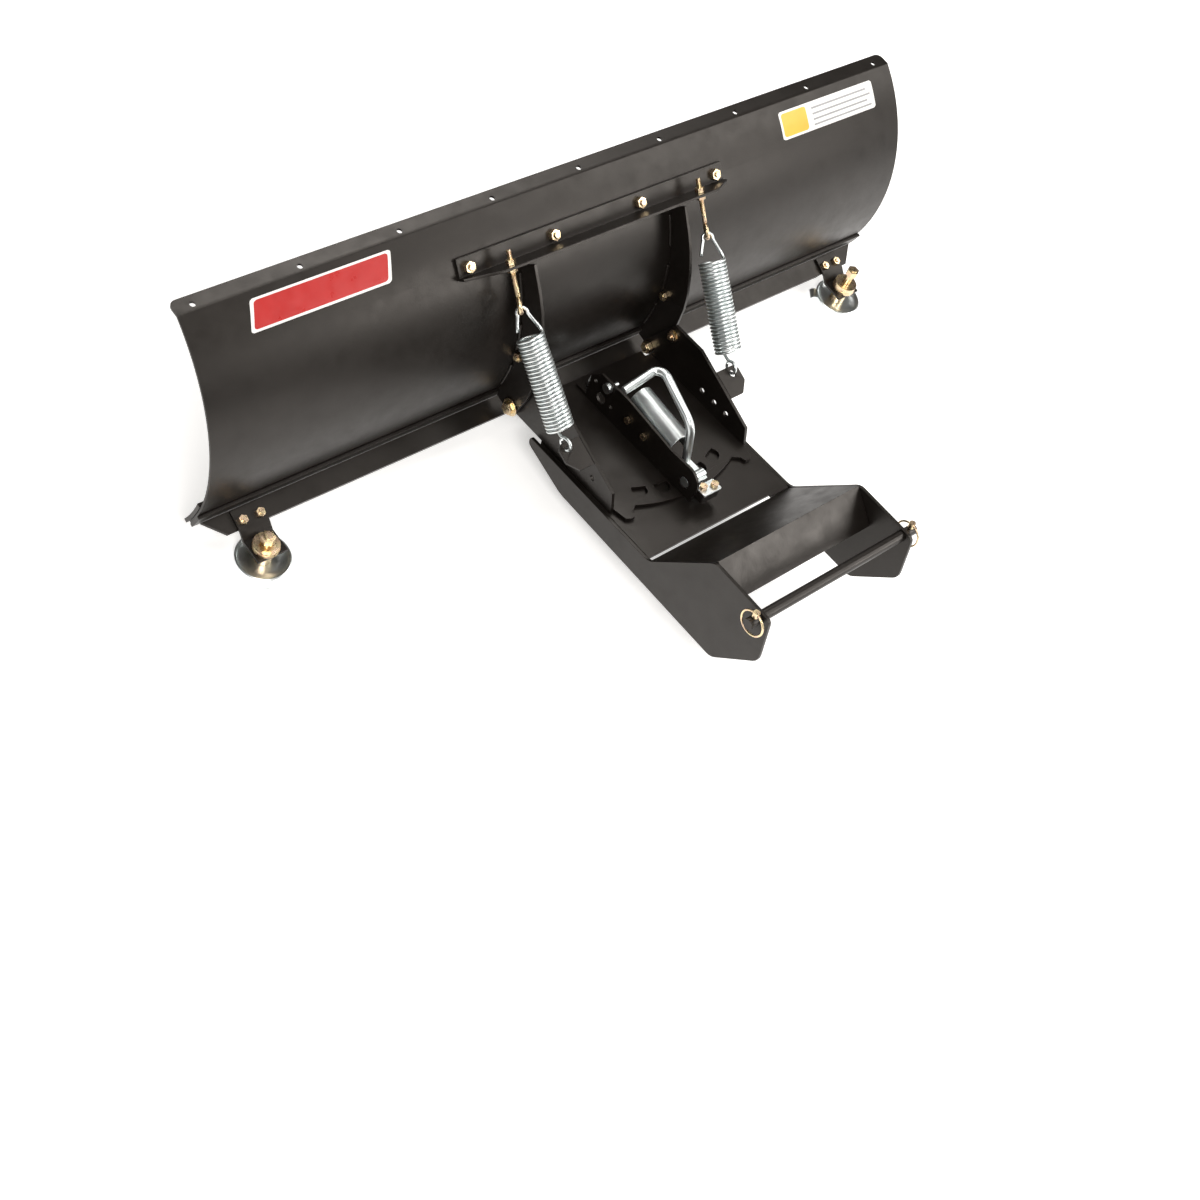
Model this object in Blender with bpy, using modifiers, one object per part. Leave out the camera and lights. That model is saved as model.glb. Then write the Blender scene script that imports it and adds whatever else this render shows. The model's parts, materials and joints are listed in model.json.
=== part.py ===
"""ATV plow blade: a curved moldboard on a sprung trip pivot, a swivel plate and a push frame.

Metres, +Z up. Lengths below are in millimetres and the helpers scale them to metres.
X runs along the blade and +X is the driver's left. The blade works towards -Y and the
hitch is at +Y. Z = 0 is the underside of the two skid dishes.
"""

import math

import bmesh
import bpy
from mathutils import Matrix, Vector

for old_object in list(bpy.data.objects):
    bpy.data.objects.remove(old_object, do_unlink=True)

MM = 0.001
GAP = 0.3
LEFT = 1
RIGHT = -1
SIDE_NAMES = {LEFT: "left", RIGHT: "right"}

# Moldboard: a sheet rolled to one radius, with a flange along its top edge.
BLADE_HALF_WIDTH = 635.0
ARC_CENTRE = (-455.0, 136.0)
REAR_RADIUS = 250.0
SHEET = 3.2
ARC_START = -22.6
ARC_STEP = 2.49
ARC_STEPS = 32
TOP_Z = 347.0
FLANGE_FRONT_Y = -343.06
FLANGE_CORNER = 10.0
FLANGE_HOLE_Y = -329.0
FLANGE_HOLE_PITCH = 152.2
FLANGE_HOLE_RADIUS = 4.0

# Bars along the bottom edge, rolled to the same centre as the sheet.
BAR_HALF_WIDTH = 636.5
WEAR_BAR = 6.0
BACKING_BAR = 5.0
WEAR_BAR_STEPS = (-1, 5)
BACKING_BAR_STEPS = (0, 3)

# Angle iron along the bottom of the rear face.
ANGLE_FRONT = (-214.6, 48.0)
ANGLE_SLOPE = math.radians(-20.6)
ANGLE_LEG = 28.7
ANGLE_LIP = 14.0
ANGLE_THICK = 4.0
ANGLE_HALF_WIDTH = 627.0
LIP_HALF_WIDTH = 540.0

# Trip pivot and the ribs that carry it.
PIVOT = (-178.0, 69.0)
PIVOT_BOLT_RADIUS = 6.0
PIVOT_BOSS_RADIUS = 13.0
RIB_X = (136.5, 141.5)
RIB_BOLT = (-197.5, 160.0)
RIB_BOLT_RADIUS = 4.0

# Deck: the push frame and the swivel plate rise towards the hitch.
DECK_ORIGIN = (0.0, 40.0, 88.0)
DECK_TILT = math.radians(7)
DECK_PLATE = (-11.0, -6.0)
PIVOT_OFFSET = Vector((PIVOT[0] - DECK_ORIGIN[1], PIVOT[1] - DECK_ORIGIN[2]))
PIVOT_DECK = tuple(Matrix.Rotation(-DECK_TILT, 2) @ PIVOT_OFFSET)
FRAME_SIDE_X = (138.0, 143.0)
DECK_HALF_WIDTH = 137.7
DECK_REAR = 89.0
KING_U = -195.0
KING_RADIUS = 8.0
HITCH = (283.0, 82.0)
HITCH_RADIUS = 8.0
HITCH_HALF_LENGTH = 164.0
LYNCH_X = 153.5
LYNCH_RADIUS = 2.6
RING_RADIUS = 19.0
RING_HANG = 15.0
RING_WIRE = 1.6

# Swivel plate with its two walls and the folded spring ears.
SWIVEL_THICK = 5.0
NUT_NOTCH = (117.5, -211.0)
WALL_X = (128.5, 133.5)
SWIVEL_ARC_RADIUS = 226.0
DETENT_RADIUS = 199.0
DETENT_PITCH = math.radians(10.5)
DETENT_SIZE = 12.0
WALL_TOP = (-127.0, 79.0)
WALL_REAR = (-7.0, 27.0)
EAR_START_U = -92.0
EAR_LENGTH = 44.0
EAR_OUTER_X = 174.0
EAR_HOLE = (160.0, 11.0)
EAR_HOLE_RADIUS = 5.5
EAR_THICK = 4.0

# Spring bracket: an angle iron bolted to the rear face near the top.
BRACKET_ANGLE = math.radians(42.6)
BRACKET_LEG = 30.0
BRACKET_SHELF = 42.0
BRACKET_THICK = 4.0
BRACKET_HALF_WIDTH = 243.0
BRACKET_BOLT_X = (226.2, 79.6)
EYE_X = 174.0
EYE_OUT = 27.0
EYE_REACH = 52.0
EYE_THREAD = 24.0
EYE_ROD = 3.2
EYE_RING = 10.0
EYE_NUT = 7.0

# Trip springs: extension springs from the ears to the eye bolts.
SPRING_WIRE = 2.4
COIL_RADIUS = 18.0
COIL_TURNS = 24.65
COIL_SIDES = 8
COIL_START = 33.0
COIL_LENGTH = 133.0
LOWER_HOOK = 9.2
UPPER_HOOK = 7.4
HOOK_INSIDE_EYE = 2.6
EYE_TURN = math.radians(38)
HOOK_SPREAD = 14.0
HOOK_LEG = 37.0

# Skid shoes.
SHOE_X = 564.5
SHOE_Y = -153.0
SHOE_STEM = 6.0
SPACER_TOP = {LEFT: 40.0, RIGHT: 44.0}
SHOE_NUT_LOW = {LEFT: 46.0, RIGHT: 63.0}
SHOE_BRACKET_X = (540.5, 586.0)
SHOE_BOLT_X = (575.6, 549.1)

# Latch that holds the blade angle.
LATCH_PLATE_X = (18.0, 22.0)
LATCH_SHAFT = (24.0, 22.0)
LATCH_SHAFT_RADIUS = 8.0
LATCH_ROD = 6.3
COVER_RADIUS = 20.0
COVER_X = -2.5
COVER_THICK = 2.2
COVER_FRONT = (-115.0, 55.0)
COVER_REAR = (-22.0, 43.0)


def finish(name, colour, metallic, roughness):
    """A Principled material."""
    made = bpy.data.materials.new(name)
    made.use_nodes = True
    shader = made.node_tree.nodes["Principled BSDF"]
    shader.inputs["Base Color"].default_value = (*colour, 1.0)
    shader.inputs["Metallic"].default_value = metallic
    shader.inputs["Roughness"].default_value = roughness
    return made


BLACK = finish("black_powder_coat", (0.022, 0.020, 0.019), 0.0, 0.45)
ZINC = finish("bright_zinc", (0.72, 0.73, 0.75), 1.0, 0.28)
YELLOW_ZINC = finish("yellow_zinc", (0.78, 0.56, 0.24), 1.0, 0.32)

COLLECTION = bpy.data.collections.new("atv_plow_blade")
bpy.context.scene.collection.children.link(COLLECTION)


def shifted(frame, x, y, z=0.0):
    """The frame moved by millimetres along its own axes."""
    return frame @ Matrix.Translation(Vector((x, y, z)) * MM)


def frame_from(origin, x_axis, z_axis):
    """A frame at a point in millimetres, with its Z along z_axis and X nearest to x_axis."""
    z_unit = Vector(z_axis).normalized()
    y_unit = z_unit.cross(Vector(x_axis)).normalized()
    x_unit = y_unit.cross(z_unit)
    turn = Matrix((x_unit, y_unit, z_unit)).transposed().to_4x4()
    return Matrix.Translation(Vector(origin) * MM) @ turn


# PLAN keeps world axes. SECTION takes an outline in (y, z) and extrudes it along X.
PLAN = Matrix.Identity(4)
SECTION = Matrix(((0, 0, 1, 0), (1, 0, 0, 0), (0, 1, 0, 0), (0, 0, 0, 1)))
DECK = Matrix.Translation(Vector(DECK_ORIGIN) * MM) @ Matrix.Rotation(DECK_TILT, 4, "X")
DECK_SECTION = DECK @ SECTION


def pivot_empty(name, frame, parent=None):
    """An empty on a joint's axis, which the pieces that move with it hang on."""
    empty = bpy.data.objects.new(name, None)
    COLLECTION.objects.link(empty)
    if parent is not None:
        empty.parent = parent
        empty.matrix_parent_inverse = parent.matrix_world.inverted()
    empty.matrix_world = frame
    bpy.context.view_layer.update()
    return empty


def hang(piece, parent):
    """Parent a piece without moving it."""
    piece.parent = parent
    piece.matrix_parent_inverse = parent.matrix_world.inverted()
    return piece


def new_object(name, mesh, material, frame):
    """An object with one material, placed by its matrix."""
    mesh.name = name
    mesh.materials.clear()
    mesh.materials.append(material)
    made = bpy.data.objects.new(name, mesh)
    COLLECTION.objects.link(made)
    made.matrix_world = frame
    return made


def mesh_from_bmesh(build):
    """Write a bmesh to a new mesh."""
    bmesh.ops.recalc_face_normals(build, faces=build.faces)
    mesh = bpy.data.meshes.new("mesh")
    build.to_mesh(mesh)
    build.free()
    return mesh


def object_from_curve(name, curve, material, frame):
    """Turn a curve into a closed mesh object."""
    holder = bpy.data.objects.new(name, curve)
    COLLECTION.objects.link(holder)
    bpy.context.view_layer.update()
    depsgraph = bpy.context.evaluated_depsgraph_get()
    mesh = bpy.data.meshes.new_from_object(holder.evaluated_get(depsgraph))
    bpy.data.objects.remove(holder, do_unlink=True)
    build = bmesh.new()
    build.from_mesh(mesh)
    bmesh.ops.remove_doubles(build, verts=build.verts, dist=0.000001)
    bmesh.ops.recalc_face_normals(build, faces=build.faces)
    build.to_mesh(mesh)
    build.free()
    return new_object(name, mesh, material, frame)


def plate(name, material, frame, outline, low, high, holes=()):
    """A flat outline in the frame's XY plane, extruded from low to high along its Z."""
    curve = bpy.data.curves.new(name, "CURVE")
    curve.dimensions = "2D"
    curve.fill_mode = "BOTH"
    curve.extrude = (high - low) / 2 * MM
    for loop in (outline, *holes):
        spline = curve.splines.new("POLY")
        spline.points.add(len(loop) - 1)
        for point, (x, y) in zip(spline.points, loop):
            point.co = (x * MM, y * MM, 0.0, 1.0)
        spline.use_cyclic_u = True
    return object_from_curve(name, curve, material, shifted(frame, 0, 0, (low + high) / 2))


def rod(name, material, frame, points, radius, detail=2):
    """A round wire or rod along a list of points."""
    curve = bpy.data.curves.new(name, "CURVE")
    curve.dimensions = "3D"
    curve.bevel_depth = radius * MM
    curve.bevel_resolution = detail
    curve.use_fill_caps = True
    spline = curve.splines.new("POLY")
    spline.points.add(len(points) - 1)
    for point, place in zip(spline.points, points):
        point.co = (*(Vector(place) * MM), 1.0)
    return object_from_curve(name, curve, material, frame)


def drum(name, material, frame, radius, low, high, sides=24):
    """A cylinder along the frame's Z, or a hexagon when it has six sides."""
    build = bmesh.new()
    middle = Matrix.Translation(Vector((0, 0, (low + high) / 2)) * MM)
    bmesh.ops.create_cone(build, cap_ends=True, segments=sides, radius1=radius * MM,
                          radius2=radius * MM, depth=(high - low) * MM, matrix=middle)
    return new_object(name, mesh_from_bmesh(build), material, frame)


def combine(base, others, operation):
    """Join or cut a piece with other pieces, which are used up."""
    for other in others:
        boolean = base.modifiers.new("boolean", "BOOLEAN")
        boolean.operation = operation
        boolean.object = other
        bpy.context.view_layer.update()
        depsgraph = bpy.context.evaluated_depsgraph_get()
        mesh = bpy.data.meshes.new_from_object(base.evaluated_get(depsgraph))
        base.modifiers.remove(boolean)
        base.data = mesh
        bpy.data.objects.remove(other, do_unlink=True)
    return base


def join(base, *others):
    """Union of pieces."""
    return combine(base, others, "UNION")


def cut(base, *cutters):
    """A piece less its cutters."""
    return combine(base, cutters, "DIFFERENCE")


def circle(x, y, radius, count=20):
    """Points around a circle."""
    steps = [math.tau * index / count for index in range(count)]
    return [(x + radius * math.cos(turn), y + radius * math.sin(turn)) for turn in steps]


def arc(x, y, radius, start, end, count):
    """Points along an arc, with its angles in degrees."""
    turns = [math.radians(start + (end - start) * index / count) for index in range(count + 1)]
    return [(x + radius * math.cos(turn), y + radius * math.sin(turn)) for turn in turns]


def softened(points, radius, count=3, closed=True):
    """Points with each corner replaced by a short round, in two or three dimensions."""
    made = []
    total = len(points)
    for index, place in enumerate(points):
        here = Vector(place)
        if not closed and index in (0, total - 1):
            made.append(tuple(here))
            continue
        before = Vector(points[index - 1]) - here
        after = Vector(points[(index + 1) % total]) - here
        reach = min(radius, before.length * 0.45, after.length * 0.45)
        first = here + before.normalized() * reach
        last = here + after.normalized() * reach
        for step in range(count + 1):
            share = step / count
            bend = first * (1 - share) ** 2 + here * 2 * share * (1 - share) + last * share ** 2
            made.append(tuple(bend))
    return made


def on_arc(radius, step):
    """A point of the moldboard's section, counted in steps up from its bottom edge."""
    turn = math.radians(ARC_START + ARC_STEP * step)
    return (ARC_CENTRE[0] + radius * math.cos(turn), ARC_CENTRE[1] + radius * math.sin(turn))


def bolt(name, material, frame, size, head, shank, nut=None, head_sides=6):
    """A bolt along Z: radius, (low, high) of its head and shank, and of its nut if it has one."""
    radius, head_radius = size
    made = drum(name, material, frame, radius, *shank, sides=16)
    pieces = [drum("head", material, frame, head_radius, *head, sides=head_sides)]
    if nut is not None:
        pieces.append(drum("nut", material, frame, head_radius, *nut, sides=6))
    return join(made, *pieces)


def rolled_bar(name, inner, outer, steps, half_width):
    """A bar rolled to the moldboard's centre."""
    first, last = steps
    outline = [on_arc(outer, step) for step in range(first, last + 1)]
    outline += [on_arc(inner, step) for step in range(last, first - 1, -1)]
    return plate(name, BLACK, SECTION, outline, -half_width, half_width)


# Frames of the sloped interfaces.
BRACKET_NORMAL = (0.0, math.cos(BRACKET_ANGLE), math.sin(BRACKET_ANGLE))
BRACKET_UP = (0.0, -math.sin(BRACKET_ANGLE), math.cos(BRACKET_ANGLE))
BRACKET_SEAT = REAR_RADIUS + GAP
BRACKET_MIDDLE = (0.0, ARC_CENTRE[0] + BRACKET_SEAT * BRACKET_NORMAL[1],
                  ARC_CENTRE[1] + BRACKET_SEAT * BRACKET_NORMAL[2])
BRACKET_FACE = frame_from(BRACKET_MIDDLE, (1, 0, 0), BRACKET_NORMAL)
BRACKET_SECTION = BRACKET_FACE @ SECTION


def make_moldboard():
    """The rolled sheet with its flange, flange holes and the spring bracket's bolt holes."""
    rear = [on_arc(REAR_RADIUS, step) for step in range(ARC_STEPS + 1)]
    front = [on_arc(REAR_RADIUS - SHEET, step) for step in range(ARC_STEPS - 1, -1, -1)]
    bend_y = rear[-1][0]
    flange = [(bend_y - 1.6, TOP_Z), (FLANGE_FRONT_Y, TOP_Z), (FLANGE_FRONT_Y, TOP_Z - SHEET),
              (bend_y - 2.4, TOP_Z - SHEET)]
    sheet = plate("moldboard", BLACK, SECTION, rear + flange + front,
                  -BLADE_HALF_WIDTH, BLADE_HALF_WIDTH)
    cutters = []
    for index in range(-4, 5):
        place = shifted(PLAN, index * FLANGE_HOLE_PITCH, FLANGE_HOLE_Y, TOP_Z)
        cutters.append(drum("hole", BLACK, place, FLANGE_HOLE_RADIUS, -8, 4, sides=16))
    for side in (LEFT, RIGHT):
        corner_x = side * (BLADE_HALF_WIDTH - FLANGE_CORNER)
        corner_y = FLANGE_FRONT_Y + FLANGE_CORNER
        start, end = (270, 360) if side == LEFT else (270, 180)
        corner = arc(corner_x, corner_y, FLANGE_CORNER, start, end, 6)
        corner += [(side * (BLADE_HALF_WIDTH + 3), corner_y),
                   (side * (BLADE_HALF_WIDTH + 3), FLANGE_FRONT_Y - 3),
                   (corner_x, FLANGE_FRONT_Y - 3)]
        cutters.append(plate("corner", BLACK, shifted(PLAN, 0, 0, TOP_Z), corner, -8, 4))
        for place_x in BRACKET_BOLT_X:
            frame = shifted(BRACKET_FACE, side * place_x, 0)
            cutters.append(drum("hole", BLACK, frame, 4.4, -12, 6, sides=16))
    return cut(sheet, *cutters)


def make_bottom_angle():
    """The angle iron: a sloped leg with chamfered ends and a lip that stops at the shoes."""
    slope = Vector((math.cos(ANGLE_SLOPE), math.sin(ANGLE_SLOPE)))
    down = Vector((slope.y, -slope.x))
    front = Vector(ANGLE_FRONT)
    heel = front + slope * ANGLE_LEG
    outline = [front, heel, heel + down * ANGLE_LIP,
               heel + down * ANGLE_LIP - slope * ANGLE_THICK,
               heel + down * ANGLE_THICK - slope * ANGLE_THICK, front + down * ANGLE_THICK]
    angle = plate("bottom_angle", BLACK, SECTION, [tuple(point) for point in outline],
                  -ANGLE_HALF_WIDTH, ANGLE_HALF_WIDTH)
    cutters = []
    under = front + down * (ANGLE_THICK + 0.05)
    below = [under - slope * 10, under + slope * 40, under + slope * 40 + down * 30,
             under - slope * 10 + down * 30]
    for side in (LEFT, RIGHT):
        chamfer = [(side * 640, -226), (side * 638.2, -226), (side * 592.2, -180),
                   (side * 640, -180)]
        cutters.append(plate("chamfer", BLACK, PLAN, chamfer, 5, 60))
        low, high = sorted((side * LIP_HALF_WIDTH, side * (ANGLE_HALF_WIDTH + 5)))
        cutters.append(plate("notch", BLACK, SECTION, [tuple(p) for p in below], low, high))
        for place_x in SHOE_BOLT_X:
            frame = shifted(shoe_slope_frame(), side * place_x, 0)
            cutters.append(drum("hole", BLACK, frame, 3.9, -14, 6, sides=16))
    return cut(angle, *cutters)


def shoe_slope_frame():
    """The frame on top of a shoe bracket's sloped plate, at the row of its bolts."""
    slope_y = math.cos(ANGLE_SLOPE)
    slope_z = math.sin(ANGLE_SLOPE)
    along = 19.0
    lift = ANGLE_THICK + 0.4
    origin = (0.0, ANGLE_FRONT[0] + along * slope_y - lift * slope_z,
              ANGLE_FRONT[1] + along * slope_z + lift * slope_y)
    return frame_from(origin, (1, 0, 0), (0, -slope_z, slope_y))


def make_rib(side):
    """A rib on the rear face, from under the spring bracket down to the trip pivot."""
    rear_edge = [(-233, 312), (-206.5, 280), (-192, 259), (-177, 230), (-165, 200),
                 (-158.5, 170), (-157, 140), (-158, 105), (-165, 75)]
    against_sheet = [on_arc(REAR_RADIUS + 0.4, step) for step in range(4, 25)]
    boss = arc(*PIVOT, PIVOT_BOSS_RADIUS, 0, -100, 6)
    foot = [(-209.0, 61.0), on_arc(REAR_RADIUS + BACKING_BAR + 0.8, 3.2),
            on_arc(REAR_RADIUS + 0.4, 3.25)]
    outline = foot + against_sheet + rear_edge + boss
    low, high = sorted(side * x for x in RIB_X)
    holes = [circle(*PIVOT, PIVOT_BOLT_RADIUS + GAP), circle(*RIB_BOLT, RIB_BOLT_RADIUS + GAP)]
    return plate("rib_" + SIDE_NAMES[side], BLACK, SECTION, outline, low, high, holes)


def make_spring_bracket():
    """The angle iron that the eye bolts hang on."""
    half = BRACKET_LEG / 2
    outline = [(half, 0), (half, BRACKET_SHELF), (half - BRACKET_THICK, BRACKET_SHELF),
               (half - BRACKET_THICK, BRACKET_THICK), (-half, BRACKET_THICK), (-half, 0)]
    bracket = plate("spring_bracket", BLACK, BRACKET_SECTION, outline,
                    -BRACKET_HALF_WIDTH, BRACKET_HALF_WIDTH)
    shelf = shifted(frame_from(BRACKET_MIDDLE, (-1, 0, 0), [-a for a in BRACKET_UP]), 0, 0, half)
    cutters = []
    for side in (LEFT, RIGHT):
        chamfer = [(side * BRACKET_HALF_WIDTH, 12), (side * 195, BRACKET_SHELF),
                   (side * 190, BRACKET_SHELF + 6), (side * 255, BRACKET_SHELF + 6),
                   (side * 255, 12)]
        cutters.append(plate("chamfer", BLACK, shelf, chamfer, -8, 4))
        cutters.append(drum("hole", BLACK, shifted(shelf, side * EYE_X, EYE_OUT),
                            EYE_ROD + GAP, -8, 4, sides=16))
        for place_x in BRACKET_BOLT_X:
            frame = shifted(BRACKET_FACE, side * place_x, 0)
            cutters.append(drum("hole", BLACK, frame, 4.4, -4, 8, sides=16))
    return cut(bracket, *cutters)


def eye_frame(side):
    """The frame at an eye bolt's hole: Z points down its rod to the eye."""
    up = Vector(BRACKET_UP)
    out = Vector(BRACKET_NORMAL)
    place = Vector(BRACKET_MIDDLE) - up * BRACKET_LEG / 2 + out * EYE_OUT
    place.x = side * EYE_X
    return frame_from(place, (1, 0, 0), -up)


def make_eye_bolt(side):
    """A threaded rod with a ring at its end and nuts on both sides of the bracket."""
    frame = eye_frame(side)
    name = "eye_bolt_" + SIDE_NAMES[side]
    made = drum(name, YELLOW_ZINC, frame, EYE_ROD, -EYE_THREAD, EYE_REACH - EYE_RING + 2, sides=16)
    upright = shifted(frame, 0, 0, EYE_REACH) @ Matrix.Rotation(EYE_TURN, 4, "Z")
    upright = upright @ Matrix.Rotation(math.pi / 2, 4, "Y")
    bpy.ops.mesh.primitive_torus_add(major_segments=24, minor_segments=10,
                                     major_radius=EYE_RING * MM, minor_radius=EYE_ROD * MM)
    ring = bpy.context.object
    ring.matrix_world = upright
    top_nut = drum("nut", YELLOW_ZINC, frame, EYE_NUT, -BRACKET_THICK - 7, -BRACKET_THICK - GAP, 6)
    under_nut = drum("nut", YELLOW_ZINC, frame, EYE_NUT, GAP, 6, sides=6)
    return join(made, ring, top_nut, under_nut)


def spring_frames(side):
    """Frames of a spring: at the ear hole looking up its axis, and at the eye looking down."""
    ear = EAR_FACE @ (Vector((EAR_HOLE[0], EAR_HOLE[1], -EAR_THICK / 2)) * MM)
    ear.x = side * ear.x
    eye = eye_frame(side) @ (Vector((0, 0, EYE_REACH + HOOK_INSIDE_EYE)) * MM)
    axis = eye - ear
    ear_normal = EAR_FACE.to_3x3() @ Vector((0, 0, 1))
    lower = frame_from(ear / MM, ear_normal, axis)
    through = eye_frame(side).to_3x3() @ Vector((-math.cos(EYE_TURN), -math.sin(EYE_TURN), 0))
    upper = frame_from(eye / MM, through, -axis)
    return lower, upper, axis.length / MM


def lower_hook_points():
    """An open hook whose lowest point is the origin, ending at its top."""
    turns = [math.radians(130 + 20 * index) for index in range(17)]
    return [(LOWER_HOOK * math.cos(turn), 0.0, LOWER_HOOK * (1 + math.sin(turn))) for turn in turns]


def upper_hook_points():
    """A wide hook: a short free leg, a round over the eye and a leg to the coil's rim."""
    turns = [math.radians(195 + 15 * index) for index in range(11)]
    bend = [(UPPER_HOOK * math.cos(turn), 0.0, UPPER_HOOK * (1 + math.sin(turn))) for turn in turns]
    return [(-HOOK_SPREAD, 0.0, HOOK_LEG - 6)] + bend + [(HOOK_SPREAD, 0.0, HOOK_LEG)]


def make_spring(side):
    """The coil with its lower hook, and the upper hook, which slides away from it."""
    lower, upper, _ = spring_frames(side)
    top = 2 * LOWER_HOOK
    run_in = [(-5.0, 0.0, top + 2.2), (-13.0, 0.0, top + 7.0)]
    steps = int(COIL_TURNS * COIL_SIDES)
    coil = []
    for index in range(steps + 1):
        turn = math.pi + math.tau * index / COIL_SIDES
        height = COIL_START + COIL_LENGTH * index / steps
        coil.append((COIL_RADIUS * math.cos(turn), COIL_RADIUS * math.sin(turn), height))
    body = rod("spring_" + SIDE_NAMES[side], ZINC, lower,
               lower_hook_points() + run_in + coil, SPRING_WIRE, detail=1)
    hook = rod("spring_hook_" + SIDE_NAMES[side], ZINC, upper, upper_hook_points(), SPRING_WIRE)
    return body, hook


def make_shoe_bracket(side):
    """A bent strap on the bottom angle that reaches back to hold a shoe's stem."""
    frame = shoe_slope_frame()
    front = frame @ (Vector((0, -16.5, 0)) * MM) / MM
    back = frame @ (Vector((0, 12.5, 0)) * MM) / MM
    thick = ANGLE_THICK
    under_front = frame @ (Vector((0, -16.5, -thick)) * MM) / MM
    under_back = frame @ (Vector((0, 12.5, -thick)) * MM) / MM
    outline = [(front.y, front.z), (back.y, back.z), (-172.5, 31), (-137, 31), (-137, 27),
               (-174.5, 27), (under_back.y, under_back.z), (under_front.y, under_front.z)]
    low, high = sorted(side * x for x in SHOE_BRACKET_X)
    strap = plate("shoe_bracket_" + SIDE_NAMES[side], BLACK, SECTION, outline, low, high)
    stem = shifted(PLAN, side * SHOE_X, SHOE_Y)
    cutters = [drum("hole", BLACK, stem, SHOE_STEM + GAP + 0.2, 20, 40, sides=20)]
    for place_x in SHOE_BOLT_X:
        cutters.append(drum("hole", BLACK, shifted(frame, side * place_x, 0), 3.9, -8, 6, 16))
    return cut(strap, *cutters)


def make_shoe_dish(side):
    """A pressed dish with a rolled rim and one bent tab."""
    profile = [(0.0, 3.6), (22.0, 3.6), (31.0, 5.2), (35.0, 9.0), (36.6, 10.0), (38.3, 9.0),
               (37.2, 6.0), (32.5, 1.8), (23.0, 0.0), (0.0, 0.0)]
    curve = bmesh.new()
    points = [curve.verts.new((x * MM, 0, z * MM)) for x, z in profile]
    for first, second in zip(points, points[1:]):
        curve.edges.new((first, second))
    mesh = bpy.data.meshes.new("dish")
    curve.to_mesh(mesh)
    curve.free()
    frame = shifted(PLAN, side * SHOE_X, SHOE_Y)
    dish = new_object("shoe_dish_" + SIDE_NAMES[side], mesh, ZINC, frame)
    screw = dish.modifiers.new("turn", "SCREW")
    screw.steps = 36
    screw.render_steps = 36
    screw.use_merge_vertices = True
    screw.merge_threshold = 0.00001
    bpy.context.view_layer.update()
    depsgraph = bpy.context.evaluated_depsgraph_get()
    turned = bpy.data.meshes.new_from_object(dish.evaluated_get(depsgraph))
    dish.modifiers.clear()
    build = bmesh.new()
    build.from_mesh(turned)
    bmesh.ops.remove_doubles(build, verts=build.verts, dist=0.00001)
    bmesh.ops.recalc_face_normals(build, faces=build.faces)
    build.to_mesh(turned)
    build.free()
    dish.data = turned
    turn = math.radians(64 if side == LEFT else -36)
    tab_frame = frame @ Matrix.Rotation(turn, 4, "Z") @ SECTION_ACROSS
    outline = [(34.5, 5.5), (38.0, 8.4), (44.0, 7.2), (47.5, 3.5), (46.0, 2.3), (43.0, 5.2),
               (38.6, 5.6)]
    tab = plate("tab", ZINC, tab_frame, outline, -9.5, 9.5)
    return join(dish, tab)


# An outline in (x, z), extruded along Y.
SECTION_ACROSS = Matrix(((1, 0, 0, 0), (0, 0, -1, 0), (0, 1, 0, 0), (0, 0, 0, 1)))


def make_shoe(side):
    """Stem with its collar and nut, the spacers over the bracket, and the dish."""
    frame = shifted(PLAN, side * SHOE_X, SHOE_Y)
    label = SIDE_NAMES[side]
    spacer_top = SPACER_TOP[side]
    nut_low = SHOE_NUT_LOW[side]
    stem = drum("shoe_stem_" + label, YELLOW_ZINC, frame, SHOE_STEM, 3.9, nut_low + 13, sides=20)
    collar = drum("collar", YELLOW_ZINC, frame, 12, 3.9, 26.6, sides=24)
    nut = drum("nut", YELLOW_ZINC, frame, 10, nut_low, nut_low + 11, sides=6)
    join(stem, collar, nut)
    low_ring = plate("shoe_spacer_" + label, YELLOW_ZINC, frame, circle(0, 0, 18.8, 28), 31.3, 36,
                     [circle(0, 0, SHOE_STEM + GAP + 0.2)])
    upper_ring = plate("ring", YELLOW_ZINC, frame, circle(0, 0, 18.4, 24), 35.5, spacer_top,
                       [circle(0, 0, SHOE_STEM + GAP + 0.2)])
    join(low_ring, upper_ring)
    return make_shoe_dish(side), stem, low_ring


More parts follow.
